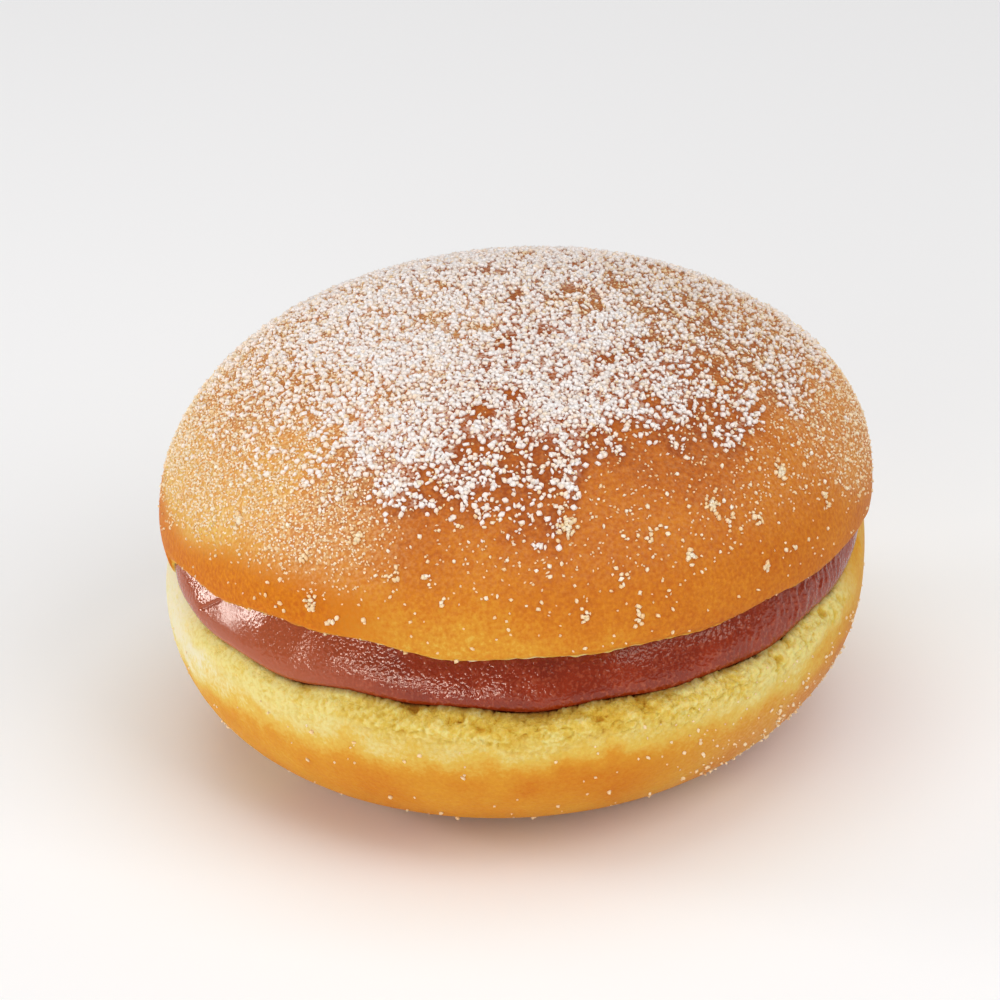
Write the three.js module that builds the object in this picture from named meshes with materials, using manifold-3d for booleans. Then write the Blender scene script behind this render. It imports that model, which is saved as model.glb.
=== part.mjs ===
// A berliner doughnut, slit open along its front, filled with chocolate cream and strewn with sugar.
// Millimetres, +Z up. The origin is the middle of the flat spot it rests on, and the slit opens to -Y.
import * as THREE from "three";
import { ParametricGeometry } from "three/addons/geometries/ParametricGeometry.js";
import { mergeVertices } from "three/addons/utils/BufferGeometryUtils.js";
import Module from "manifold-3d";

// Driving dimensions of the dough.
const HEIGHT = 58.6;
const DOME_DIAMETER = 95; // across the widest ring of the upper half
const DOME_LEVEL = 33.6; // height of that ring
const DOME_FULLNESS = 2.8; // 2 is an ellipse, more gives fuller shoulders
const CROWN_FULLNESS = 1.86; // the same for the rise to the crown
const BOWL_DIAMETER = 93.6; // across the widest ring of the lower half
const BOWL_LEVEL = 22.6;
const FOOT_DIAMETER = 44; // flat spot underneath
const LEAN = 2.8; // the crown sits this far to the right of the foot
const UNEVENNESS = 0.3; // hand-shaped swell and dip of the skin
const SWELLS = [
  { lobes: 2, phase: 1.1, twist: 0, share: 1 },
  { lobes: 3, phase: -0.4, twist: 4, share: 0.7 },
  { lobes: 5, phase: 0, twist: 7, share: 0.6 },
];
const SWELL_START = 0.15; // share of the height at which the skin is fully uneven

// The slit, and the pale collar that it follows.
const SLIT_LEVEL = 28.45; // middle of the slit at the front
const LEFT_RISE = 0.3; // each end of the slit lies this much higher than its front
const RIGHT_RISE = 1.6;
const SLIT_GAP = 7.2; // between the lips at the front
const LEFT_LIFT = 1.9; // the upper lip stands this much higher on the left
const LIFT_REACH = THREE.MathUtils.degToRad(30); // and is fully up this far from the front
const RIGHT_DROP = 1; // the lower lip lies this much lower on the right
const DROP_START = THREE.MathUtils.degToRad(-25); // from here
const DROP_END = THREE.MathUtils.degToRad(15); // and is fully down here
const SLIT_SPAN = THREE.MathUtils.degToRad(78); // from the front to either end
const SLIT_HINGE = 16; // the slit stops this far behind the middle
const LEFT_BLUNTNESS = 3; // how squarely the gap ends on each side
const RIGHT_BLUNTNESS = 3;
const SLIT_TAPER = 1.6; // how long the gap stays open on its way in
const LOWER_LIP_DIAMETER = 89.6;
const UPPER_LIP_DIAMETER = 92.2;
const LIP_WAVE = 0.25;
const LIP_RIPPLES = [9, 17]; // waves round the whole lip
const LIP_ROUND = 1.2; // the upper lip curls under over at least this height
const WAIST_GAP = 5; // the collar's shallow dip behind the slit
const WAIST_DEPTH = 0.45;
const WAIST_BLEND = THREE.MathUtils.degToRad(16);
const CRAG_HEIGHT = 0.55; // torn crumb under the lower lip
const CRAG_BAND = 5.5;
const TEAR_START = 0.5; // the crumb is fully torn where the slit is this far open

// The cream, and the sugar clumps that lie on the dome.
const CLEARANCE = 0.35;
const CREAM_SPAN = 0.95; // share of the slit's span
const CREAM_DEPTH = 0.84; // share of the slit's depth
const CREAM_RECESS = 4; // its upper edge lies this far under the lip where the slit gapes fully
const MOST_RECESS = 0.4; // and nowhere further in than this share of the slit's depth
const CREAM_BULGE = 1; // how far its face swells past a straight line between its edges
const CLUMPS = 88;
const STRAY_CLUMPS = 18;
const COAT_RADIUS = 39; // the thick sugar reaches this far from the crown
const CLUMP_SIZE = [1.3, 2.2];
const CLUMP_LIFT = 0.05; // share of its size that a clump's middle stands above the skin
const CLUMP_SQUASH = 0.7; // least share of its size along any side
const STRAY_REACH = 0.85; // how far down the dome's side strays lie, as a share of the way
const SCATTER = 0.5; // how far clumps stray from their even places, in radians

// How finely the surfaces are split.
const FRONT_COLUMNS = 66;
const BACK_COLUMNS = 26;
const FINE_ZONE = SLIT_SPAN + THREE.MathUtils.degToRad(6); // the columns are close together up to here
const BOWL_ROWS = 9;
const BOWL_BUNCHING = 0.75; // below 1 the rows crowd towards the collar
const LIP_ROWS = 3;
const DOME_ROWS = 10;
const SLIT_STOPS = [0.1, 0.4, 0.75]; // shares of the way in from a lip to the hinge
const CREAM_STOPS = [0, 0.12, 0.5, 1]; // shares of the way from the cream's face to its full depth
const BULGE_ROWS = 6;

const domeRadius = DOME_DIAMETER / 2;
const bowlRadius = BOWL_DIAMETER / 2;
const footRadius = FOOT_DIAMETER / 2;
const { lerp, smoothstep, clamp } = THREE.MathUtils;

// Repeatable random numbers from 0 to 1.
function seeded(seed) {
  let state = seed;
  return () => {
    state = (state * 1664525 + 1013904223) % 4294967296;
    return state / 4294967296;
  };
}

// A point at a distance from the axis, an angle from the front towards the right, and a height.
function place(radius, angle, level) {
  const lean = (LEAN * level) / HEIGHT;
  return new THREE.Vector3(
    radius * Math.sin(angle) + lean,
    -radius * Math.cos(angle),
    level,
  );
}

// Slow swell of the skin, nothing at the flat foot.
function swell(angle, level) {
  const height = level / HEIGHT;
  const wave = ({ lobes, phase, twist, share }) => {
    return share * Math.sin(lobes * angle + phase + twist * height);
  };
  const swells = SWELLS.reduce((sum, each) => sum + wave(each), 0);
  return UNEVENNESS * swells * smoothstep(height, 0, SWELL_START);
}

// 1 where the slit gapes fully, 0 at its ends and behind them.
function openness(angle) {
  const share = clamp(Math.abs(angle) / SLIT_SPAN, 0, 1);
  const bluntness = angle < 0 ? LEFT_BLUNTNESS : RIGHT_BLUNTNESS;
  return Math.pow(1 - Math.pow(share, bluntness), 1 / bluntness);
}

// 0 along the slit, 1 where only the collar's dip is left.
function closed(angle) {
  return smoothstep(Math.abs(angle), SLIT_SPAN, SLIT_SPAN + WAIST_BLEND);
}

function slitLevel(angle) {
  const rise = lerp(LEFT_RISE, RIGHT_RISE, (1 + Math.sin(angle)) / 2);
  return SLIT_LEVEL + rise * (1 - Math.max(Math.cos(angle), 0));
}

function halfGap(angle) {
  const gap = Math.max(SLIT_GAP * openness(angle), CLEARANCE);
  return lerp(gap, WAIST_GAP, closed(angle)) / 2;
}

// Where a lip lies: side is -1 for the lower one and 1 for the upper one.
function lip(angle, side) {
  const diameter = side < 0 ? LOWER_LIP_DIAMETER : UPPER_LIP_DIAMETER;
  const skin = side < 0 ? bowlRadius : domeRadius;
  const ripples = LIP_RIPPLES.map((count, i) => Math.sin(count * angle + side * (i + 1)));
  const wave = LIP_WAVE * (ripples[0] + ripples[1]);
  const raised = LEFT_LIFT * smoothstep(-angle, 0, LIFT_REACH);
  const lowered = RIGHT_DROP * smoothstep(angle, DROP_START, DROP_END);
  const lift = side < 0 ? -lowered : raised;
  return {
    radius: lerp(diameter / 2, skin - WAIST_DEPTH, closed(angle)),
    level: slitLevel(angle) + side * halfGap(angle) + (wave + lift) * openness(angle),
  };
}

// The slit's inner edge: an arc through the dough in front, the bottom of the collar's dip behind.
function hinge(angle) {
  const dip = bowlRadius - 2 * WAIST_DEPTH;
  const endX = dip * Math.sin(SLIT_SPAN);
  const endY = -dip * Math.cos(SLIT_SPAN);
  if (Math.abs(angle) >= SLIT_SPAN) {
    return place(dip, angle, slitLevel(angle));
  }
  const across = Math.sin((angle / SLIT_SPAN) * (Math.PI / 2));
  const point = place(0, 0, slitLevel(angle));
  point.x += endX * across;
  point.y += lerp(SLIT_HINGE, endY, across * across);
  return point;
}

// A point on the slit's floor or ceiling, a share of the way in from the lip, drawn in by an inset.
function slitPoint(angle, side, share, inset = 0) {
  const edge = lip(angle, side);
  const start = place(edge.radius, angle, edge.level);
  const point = start.lerp(hinge(angle), share);
  const level = lerp(edge.level, slitLevel(angle), Math.pow(share, SLIT_TAPER));
  point.z = level - side * inset;
  return point;
}

// Height of the dome's widest ring, raised where the upper lip comes close to it.
function ringLevel(angle) {
  return Math.max(DOME_LEVEL, lip(angle, 1).level + LIP_ROUND);
}

// The skin of the dome at a turn from its widest ring (0) to the crown (a quarter turn).
function domePoint(angle, turn) {
  const ring = ringLevel(angle);
  const radius = domeRadius * Math.pow(Math.max(Math.cos(turn), 0), 2 / DOME_FULLNESS);
  const level = lerp(ring, HEIGHT, Math.pow(Math.sin(turn), 2 / CROWN_FULLNESS));
  const swollen = radius + swell(angle, level) * smoothstep(radius, 0, domeRadius / 2);
  return place(swollen, angle, level);
}

// The dough's outline at one angle, from the middle of the foot to the crown.
function doughProfile(angle, random) {
  const low = lip(angle, -1);
  const high = lip(angle, 1);
  const torn = smoothstep(openness(angle), 0, TEAR_START);
  const crag = (level) => {
    const below = clamp((low.level - level) / CRAG_BAND, 0, 1);
    return torn * CRAG_HEIGHT * (2 * random() - 1) * (1 - below);
  };
  const points = [place(0, angle, 0), place(footRadius, angle, 0)];
  for (let row = 1; row <= BOWL_ROWS; row++) {
    const turn = Math.pow(row / BOWL_ROWS, BOWL_BUNCHING) * (Math.PI / 2);
    const level = BOWL_LEVEL * (1 - Math.cos(turn));
    const radius = lerp(footRadius, bowlRadius, Math.sin(turn)) + swell(angle, level);
    points.push(place(radius + crag(level), angle, level));
  }
  for (let row = 1; row <= LIP_ROWS; row++) {
    const share = row / LIP_ROWS;
    const level = lerp(BOWL_LEVEL, low.level, share);
    const skin = bowlRadius + swell(angle, level) * (1 - share);
    const radius = lerp(skin, low.radius, share * share);
    points.push(place(row < LIP_ROWS ? radius + crag(level) : radius, angle, level));
  }
  points.push(...SLIT_STOPS.map((share) => slitPoint(angle, -1, share)));
  points.push(hinge(angle));
  points.push(...SLIT_STOPS.toReversed().map((share) => slitPoint(angle, 1, share)));
  for (let row = 0; row < LIP_ROWS; row++) {
    const share = row / LIP_ROWS;
    const level = lerp(high.level, ringLevel(angle), share);
    const skin = domeRadius + swell(angle, level) * share;
    points.push(place(lerp(skin, high.radius, (1 - share) ** 2), angle, level));
  }
  for (let row = 0; row <= DOME_ROWS; row++) {
    points.push(domePoint(angle, (row / DOME_ROWS) * (Math.PI / 2)));
  }
  return points;
}

// Angles of the columns, close together along the slit and wide apart at the back.
function columnAngles() {
  const angles = [];
  for (let i = 0; i < FRONT_COLUMNS; i++) {
    angles.push(lerp(-FINE_ZONE, FINE_ZONE, i / FRONT_COLUMNS));
  }
  for (let i = 0; i <= BACK_COLUMNS; i++) {
    angles.push(lerp(FINE_ZONE, 2 * Math.PI - FINE_ZONE, i / BACK_COLUMNS));
  }
  return angles;
}

// The same direction as an angle from -180 to 180 degrees.
function wrapped(angle) {
  return angle - 2 * Math.PI * Math.round(angle / (2 * Math.PI));
}

// A closed surface through columns of points, each column as long as the next.
function surfaceThrough(columns) {
  const across = columns.length - 1;
  const along = columns[0].length - 1;
  const pick = (u, v, target) => {
    target.copy(columns[Math.round(u * across)][Math.round(v * along)]);
  };
  return new ParametricGeometry(pick, across, along);
}

const wasm = await Module();
wasm.setup();

// A closed geometry as a solid: equal corners joined, faces that shrank to a line dropped.
function solidOf(geometry) {
  const bare = geometry.clone();
  bare.deleteAttribute("normal");
  bare.deleteAttribute("uv");
  const merged = mergeVertices(bare, 1e-4);
  const corners = merged.index.array;
  const kept = [];
  for (let i = 0; i < corners.length; i += 3) {
    const [a, b, c] = corners.subarray(i, i + 3);
    if (a !== b && b !== c && c !== a) {
      kept.push(a, b, c);
    }
  }
  const mesh = new wasm.Mesh({
    numProp: 3,
    vertProperties: merged.attributes.position.array,
    triVerts: new Uint32Array(kept),
  });
  return new wasm.Manifold(mesh);
}

function geometryOf(solid) {
  const mesh = solid.getMesh();
  const geometry = new THREE.BufferGeometry();
  geometry.setAttribute("position", new THREE.BufferAttribute(mesh.vertProperties, 3));
  geometry.setIndex(new THREE.BufferAttribute(mesh.triVerts, 1));
  geometry.computeVertexNormals();
  return geometry;
}

function doughSolid() {
  const random = seeded(11);
  const angles = columnAngles();
  const columns = angles.map((angle) => doughProfile(wrapped(angle), random));
  columns[columns.length - 1] = columns[0];
  return solidOf(surfaceThrough(columns));
}

// One clump of sugar, a rough many-sided lump half sunk in the skin.
function clumpSolid(radius, angle, random) {
  const size = lerp(...CLUMP_SIZE, random() ** 2);
  const turn = Math.acos(Math.pow(radius / domeRadius, DOME_FULLNESS / 2));
  const skin = domePoint(angle, turn);
  const outward = skin.clone().sub(place(0, 0, DOME_LEVEL)).normalize();
  const lump = new THREE.IcosahedronGeometry(size / 2, 0);
  const squash = () => lerp(CLUMP_SQUASH, 1, random());
  lump.scale(squash(), squash(), squash());
  lump.rotateX(random() * Math.PI);
  lump.rotateZ(random() * Math.PI);
  lump.translate(...skin.addScaledVector(outward, CLUMP_LIFT * size));
  return solidOf(lump);
}

// Clumps on a sunflower spiral: the thick coat about the crown, then strays down the dome's sides.
function sugarClumps() {
  const random = seeded(29);
  const goldenTurn = Math.PI * (3 - Math.sqrt(5));
  const clumps = [];
  for (let i = 0; i < CLUMPS + STRAY_CLUMPS; i++) {
    const coat = Math.sqrt((i + 0.5) / CLUMPS) * COAT_RADIUS;
    const stray = lerp(COAT_RADIUS, domeRadius, random() * STRAY_REACH);
    const radius = i < CLUMPS ? coat : stray;
    const angle = wrapped(i * goldenTurn + SCATTER * random());
    clumps.push(clumpSolid(radius, angle, random));
  }
  return clumps;
}

// The cream's outline at one angle: in along the ceiling, out along the floor, up over the bulge.
function creamProfile(angle) {
  const outward = place(1, angle, 0).sub(place(0, angle, 0));
  const reach = slitPoint(angle, 1, 0).sub(hinge(angle)).dot(outward);
  const recess = clamp((CREAM_RECESS * openness(angle)) / Math.max(reach, 1), 0, MOST_RECESS);
  const inward = (side, start) => {
    const shares = CREAM_STOPS.map((stop) => lerp(start, CREAM_DEPTH, stop));
    return shares.map((share) => slitPoint(angle, side, share, CLEARANCE));
  };
  const floor = inward(-1, 0);
  const ceiling = inward(1, recess);
  const bulge = [];
  for (let row = 1; row < BULGE_ROWS; row++) {
    const share = row / BULGE_ROWS;
    const swollen = CREAM_BULGE * openness(angle) * Math.sin(share * Math.PI);
    bulge.push(floor[0].clone().lerp(ceiling[0], share).addScaledVector(outward, swollen));
  }
  return [...ceiling, ...floor.toReversed(), ...bulge, ceiling[0]];
}

function creamSolid() {
  const angles = columnAngles().filter((angle) => Math.abs(angle) < SLIT_SPAN * CREAM_SPAN);
  const columns = angles.map(creamProfile);
  const tip = (column) => {
    const middle = new THREE.Vector3();
    column.slice(1).forEach((point) => middle.add(point));
    return column.map(() => middle.clone().divideScalar(column.length - 1));
  };
  const closedColumns = [tip(columns[0]), ...columns, tip(columns[columns.length - 1])];
  return solidOf(surfaceThrough(closedColumns));
}

function mesh(name, solid, material) {
  const made = new THREE.Mesh(geometryOf(solid), material);
  made.name = name;
  return made;
}

const crust = new THREE.MeshStandardMaterial({ color: 0xcc7d3a, roughness: 0.6, metalness: 0 });
const chocolate = new THREE.MeshStandardMaterial({ color: 0x7a2f1c, roughness: 0.3, metalness: 0 });

const berliner = new THREE.Group();
const sugared = wasm.Manifold.union([doughSolid(), ...sugarClumps()]);
berliner.add(mesh("dough", sugared, crust));
berliner.add(mesh("chocolate_cream", creamSolid(), chocolate));

export default berliner;
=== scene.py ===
# Berliner doughnut, slit along the front and filled with chocolate cream, sugar on the dome.
import math
from types import SimpleNamespace
import bmesh
import bpy
import numpy as np
from mathutils import Matrix, Vector, noise


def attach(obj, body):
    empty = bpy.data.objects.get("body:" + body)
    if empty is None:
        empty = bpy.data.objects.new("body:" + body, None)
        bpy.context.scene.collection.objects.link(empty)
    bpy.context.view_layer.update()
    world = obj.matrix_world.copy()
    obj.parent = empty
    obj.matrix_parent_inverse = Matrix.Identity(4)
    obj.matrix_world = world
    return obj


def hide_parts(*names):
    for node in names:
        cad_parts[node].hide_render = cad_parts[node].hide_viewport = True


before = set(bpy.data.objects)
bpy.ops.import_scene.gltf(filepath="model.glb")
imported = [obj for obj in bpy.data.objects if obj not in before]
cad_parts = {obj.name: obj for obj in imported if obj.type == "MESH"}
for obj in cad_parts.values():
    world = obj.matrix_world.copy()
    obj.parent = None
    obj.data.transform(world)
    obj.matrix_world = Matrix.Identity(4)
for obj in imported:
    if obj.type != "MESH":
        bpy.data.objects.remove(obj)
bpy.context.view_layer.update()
mm = 0.001
noise.seed_set(1)  # noise_vector would take its seed from the clock

# camera: where the photo was taken from, lengths in millimetres
cameraSetup = dict(
    elevation=26.2,  # degrees above the table
    roll=3.6,  # degrees, the left side hangs lower
    distance=600.0,
    pixelsPerMm=7.52,  # at the doughnut's middle
    imageWidth=1000,
    middle=(0.0, 0.0, 28.0),
    middlePixel=(505.7, 524.3),
    sensorWidth=36,
    clip=(0.01, 20),  # metres
)


def makeCamera(setup):
    tilt = math.radians(setup["elevation"])
    roll = math.radians(setup["roll"])
    ahead = Vector((0, math.cos(tilt), -math.sin(tilt)))
    level = Vector((1, 0, 0))
    upright = Vector((0, math.sin(tilt), math.cos(tilt)))
    right = level * math.cos(roll) - upright * math.sin(roll)
    up = level * math.sin(roll) + upright * math.cos(roll)
    half = setup["imageWidth"] / 2
    px, py = setup["middlePixel"]
    aim = Vector(setup["middle"])
    aim += right * ((half - px) / setup["pixelsPerMm"]) + up * ((py - half) / setup["pixelsPerMm"])
    spot = (aim - ahead * setup["distance"]) * mm
    data = bpy.data.cameras.new("photoCamera")
    data.sensor_width = setup["sensorWidth"]
    data.lens = setup["pixelsPerMm"] * setup["distance"] / setup["imageWidth"] * data.sensor_width
    data.clip_start, data.clip_end = setup["clip"]
    camera = bpy.data.objects.new("photoCamera", data)
    turn = Matrix((right, up, -ahead)).transposed().to_4x4()
    camera.matrix_world = Matrix.Translation(spot) @ turn
    bpy.context.scene.collection.objects.link(camera)
    bpy.context.scene.camera = camera


makeCamera(cameraSetup)
print("camera set")

# the doughnut's form, in millimetres and radians, as the solid has it
loaf = dict(
    height=58.6,
    domeRadius=47.5, domeLevel=33.6, domeFullness=2.8, crownFullness=1.86,
    bowlRadius=46.8, bowlLevel=22.6, footRadius=22.0,
    lean=2.8,
    unevenness=0.3, swellStart=0.15,
    swells=((2, 1.1, 0, 1.0), (3, -0.4, 4, 0.7), (5, 0.0, 7, 0.6)),  # lobes, phase, twist, share
    slitLevel=28.45, leftRise=0.3, rightRise=1.6, slitGap=7.2, slitSpan=math.radians(78),
    slitHinge=16.0, slitTaper=1.6,
    leftBluntness=3.0, rightBluntness=3.0,
    leftLift=1.9, liftReach=math.radians(30),
    rightDrop=1.0, dropStart=math.radians(-25), dropEnd=math.radians(15),
    lowerLip=44.8, upperLip=46.1, lipWave=0.25, lipRipples=(9, 17), lipRound=1.2,
    waistGap=5.0, waistDepth=0.45, waistBlend=math.radians(16),
    leastGap=0.35,
)


def mix(a, b, share):
    return a + (b - a) * share


def smooth(value, low, high):
    t = np.clip((value - low) / (high - low), 0, 1)
    return t * t * (3 - 2 * t)


def place(radius, angle, level):
    lean = loaf["lean"] * level / loaf["height"]
    return np.stack(np.broadcast_arrays(radius * np.sin(angle) + lean, -radius * np.cos(angle), level), -1)


def swell(angle, level):
    height = level / loaf["height"]
    wave = sum(share * np.sin(lobes * angle + phase + twist * height)
               for lobes, phase, twist, share in loaf["swells"])
    return loaf["unevenness"] * wave * smooth(height, 0, loaf["swellStart"])


def openness(angle):
    share = np.clip(np.abs(angle) / loaf["slitSpan"], 0, 1)
    bluntness = np.where(angle < 0, loaf["leftBluntness"], loaf["rightBluntness"])
    return (1 - share ** bluntness) ** (1 / bluntness)


def closed(angle):
    return smooth(np.abs(angle), loaf["slitSpan"], loaf["slitSpan"] + loaf["waistBlend"])


def slitLevel(angle):
    rise = mix(loaf["leftRise"], loaf["rightRise"], (1 + np.sin(angle)) / 2)
    return loaf["slitLevel"] + rise * (1 - np.maximum(np.cos(angle), 0))


def halfGap(angle):
    gap = np.maximum(loaf["slitGap"] * openness(angle), loaf["leastGap"])
    return mix(gap, loaf["waistGap"], closed(angle)) / 2


def lipRadius(angle, side):
    lip = loaf["lowerLip"] if side < 0 else loaf["upperLip"]
    skin = loaf["bowlRadius"] if side < 0 else loaf["domeRadius"]
    return mix(lip, skin - loaf["waistDepth"], closed(angle))


def lipLevel(angle, side):
    wave = sum(np.sin(count * angle + side * (i + 1)) for i, count in enumerate(loaf["lipRipples"]))
    raised = loaf["leftLift"] * smooth(-angle, 0, loaf["liftReach"])
    lowered = loaf["rightDrop"] * smooth(angle, loaf["dropStart"], loaf["dropEnd"])
    lift = raised if side > 0 else -lowered
    return slitLevel(angle) + side * halfGap(angle) + (loaf["lipWave"] * wave + lift) * openness(angle)


def hinge(angle):
    dip = loaf["bowlRadius"] - 2 * loaf["waistDepth"]
    span = loaf["slitSpan"]
    across = np.sin(np.clip(angle / span, -1, 1) * math.pi / 2)
    point = place(np.zeros_like(angle), angle, slitLevel(angle))
    point[..., 0] += dip * math.sin(span) * across
    point[..., 1] += mix(loaf["slitHinge"], -dip * math.cos(span), across ** 2)
    behind = place(np.full_like(angle, dip), angle, slitLevel(angle))
    return np.where((np.abs(angle) >= span)[..., None], behind, point)


def slitPoint(angle, side, share, inset=0.0):
    level = lipLevel(angle, side)
    share = np.broadcast_to(share, angle.shape)
    start = place(lipRadius(angle, side), angle, level)
    point = mix(start, hinge(angle), share[..., None])
    point[..., 2] = mix(level, slitLevel(angle), share ** loaf["slitTaper"]) - side * inset
    return point


def ringLevel(angle):
    return np.maximum(loaf["domeLevel"], lipLevel(angle, 1) + loaf["lipRound"])


def domePoint(angle, turn):
    radius = loaf["domeRadius"] * max(math.cos(turn), 0) ** (2 / loaf["domeFullness"])
    level = mix(ringLevel(angle), loaf["height"], math.sin(turn) ** (2 / loaf["crownFullness"]))
    return place(radius + swell(angle, level) * smooth(radius, 0, loaf["domeRadius"] / 2), angle, level)


# noise: how far one seed moves the pattern, and the cells of the torn crumb
noiseStep = (7.3, 3.1, 5.7)
crumbCells = dict(
    wobble=0.3, wobbleScale=1.6,  # cells are bent a little
    luckScale=3.7,
    lumpWidth=0.95, lumpLeast=0.6, lumpLuck=0.8,
    pitLeast=0.35, pitLuck=0.4,
)


def seedShift(seed):
    return Vector([seed * step for step in noiseStep])


def noiseAt(points, size, seed):
    shift = seedShift(seed)
    return np.array([noise.noise(Vector(p) / size + shift) for p in points])


def layeredNoise(points, size, octaves, seed):
    return sum(0.5 ** k * noiseAt(points, size * 0.5 ** k, seed + k) for k in range(octaves))


def cellsAt(points, size, seed):
    # distance to the nearest cell's middle, and that cell's own luck from 0 to 1
    shift = seedShift(seed)
    gap, luck = np.empty(len(points)), np.empty(len(points))
    for i, point in enumerate(points):
        spot = Vector(point) / size + shift
        bent = spot + crumbCells["wobble"] * noise.noise_vector(spot * crumbCells["wobbleScale"])
        gaps, middles = noise.voronoi(bent)
        gap[i] = gaps[0]
        luck[i] = 0.5 + 0.5 * noise.cell(middles[0] * crumbCells["luckScale"])
    return gap, luck


def lumpsAt(points, size, seed):
    gap, luck = cellsAt(points, size, seed)
    dome = np.clip(1 - (gap / crumbCells["lumpWidth"]) ** 2, 0, 1)
    return dome * (crumbCells["lumpLeast"] + crumbCells["lumpLuck"] * luck)


def pitsAt(points, size, seed, share):
    gap, luck = cellsAt(points, size, seed)
    width = crumbCells["pitLeast"] + crumbCells["pitLuck"] * luck / share
    return np.where(luck < share, np.clip(1 - (gap / width) ** 2, 0, 1), 0)


def meshFromGrid(name, grid):
    # rows of points, each row a closed ring of columns
    rows, columns = grid.shape[:2]
    index = np.arange(rows * columns).reshape(rows, columns)
    low, high = index[:-1], index[1:]
    faces = np.stack([low, np.roll(low, -1, axis=1), np.roll(high, -1, axis=1), high], -1)
    mesh = bpy.data.meshes.new(name)
    mesh.from_pydata((grid.reshape(-1, 3) * mm).tolist(), [], faces.reshape(-1, 4).tolist())
    return mesh


def addObject(name, mesh, material):
    piece = bpy.data.objects.new(name, mesh)
    bpy.context.scene.collection.objects.link(piece)
    mesh.materials.clear()
    mesh.materials.append(material)
    return piece


def mergeDoubles(mesh, reach):
    work = bmesh.new()
    work.from_mesh(mesh)
    bmesh.ops.remove_doubles(work, verts=work.verts, dist=reach)
    work.to_mesh(mesh)
    work.free()
    mesh.validate()


def setFloat(mesh, name, values):
    layer = mesh.attributes.new(name, "FLOAT", "POINT")
    layer.data.foreach_set("value", np.ascontiguousarray(values, dtype=np.float32).ravel())


# dough: crust, pale collar and torn crumb in one skin, in millimetres, and radians unless noted
doughLook = dict(
    # rows and columns of points, close-set about the slit
    frontColumns=560, backColumns=120, fineZone=math.radians(84),
    footRows=3, bowlRows=14, crumbRows=34, ledgeRows=12, lipRows=9, lipRowPower=1.6, domeRows=58,
    crumbFrom=math.radians(74), lowerExtra=4, slitMargin=2,
    slitStops=(0.012, 0.03, 0.06, 0.12, 0.3, 0.7),
    mergeReach=1e-6,  # metres, only closes the poles
    seeds=dict(wave=1, bead=2, drift=3, mottle=6, fineMottle=7, pit=9, crack=31),
    # torn crumb: how far below the lip it reaches, and where along the slit
    gapeFull=0.5, faint=0.01,
    driftSize=4.0, driftLayers=3, tornDrift=1.3,
    tornBand=7.0, tornBandSide=4.5, tornSide=(0.8, 1.1), tornFull=2.0, tornEnds=(1.08, 1.34),
    tornLeft=(math.radians(-46), math.radians(-18)), leftCalm=0.45,
    lumps=((1.6, 0.22, 4), (0.9, 0.24, 5), (0.55, 0.18, 6)),  # size, height, seed
    lumpMiddle=0.6,
    waveHeight=0.35, waveSize=3.4,
    pitDepth=0.55, pitSize=1.5, pitShare=0.12, pitReach=(2.4, 0.8),
    crackDepth=0.26, crackSize=2.3, crackLayers=2, crackWidth=0.10,
    # painted shade in the crumb's hollows: its middle, how much less at the sides, and how strongly sunken
    # relief darkens it
    hollowMiddle=0.42, hollowSide=0.32, hollowSides=(0.25, 0.8), hollowDepth=0.95,
    lipBeads=0.3, lipBeadSize=1.3, lipBeadReach=1.2,
    # dark cream smear by the lower lip, partly painted contact shade
    smearBand=(-0.55, 0.1), smearThin=0.6,
    # browning, 0 pale to 1 chestnut: the lower half
    mottleSize=9.0, fineMottleSize=2.6, fineMottle=0.05,
    paleLevel=19.4, paleSoft=5.5, paleLead=0.4, paleDrift=2.0,
    collar=0.10, collarLeft=(0.98, 1.15), collarRight=(1.4, 2.1),
    rightCollar=0.24, rightFrom=(0.8, 1.15), rightTo=(1.3, 2.1),
    underBrown=0.33, underMottle=0.14,
    waist=0.05, waistRight=0.5, waistMottle=0.03,
    # browning: the dome, with its angles in degrees
    dome=0.66, crown=0.16, crownLevel=(42, 54), domeMottle=0.12,
    golden=0.30, goldenMiddle=-12, goldenWidth=28, goldenReach=(0.5, 12.0),
    paleSide=0.30, sideFrom=(28, 60), sideLevel=(34.5, 39), leftEnds=(105, 160),
    paleLip=0.40, paleLipFrom=0.25, paleLipReach=(0.8, 3.0),
    # browner crust under the sugar coat, partly painted shade between the grains
    underCoat=0.36, chestnutFront=(-0.8, -0.15), chestnutBack=(1.9, 3.0),  # radians
    amberFrom=(math.radians(16), math.radians(38)), amberHeight=(43.0, 38.0), amberLip=(0.5, 1.2),
    amberDrop=3.5, amberDropAt=(50, 72),
    speckleLower=0.45,
    # patches: angle in degrees, height, size, how much browner
    mmPerDegree=0.8, darkStretch=0.1,
    lowPatches=((0, 13.5, 2.2, 0.16), (16, 9.5, 4.0, 0.08), (-24, 8.0, 5.0, 0.06), (36, 8.0, 5.0, 0.12)),
    palePatches=((-56, 50.0, 4.5, -0.22), (-47, 50.5, 4.5, -0.26)),
    darkPatches=((-40, 36.5, 3.4, 0.14), (-62, 35.5, 2.5, -0.10)),
)


def columnAngles(look):
    zone = look["fineZone"]
    front = np.linspace(-zone, zone, look["frontColumns"], endpoint=False)
    back = np.linspace(zone, 2 * math.pi - zone, look["backColumns"], endpoint=False)
    angles = np.concatenate([front, back])
    return angles - 2 * math.pi * np.round(angles / (2 * math.pi))


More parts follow.
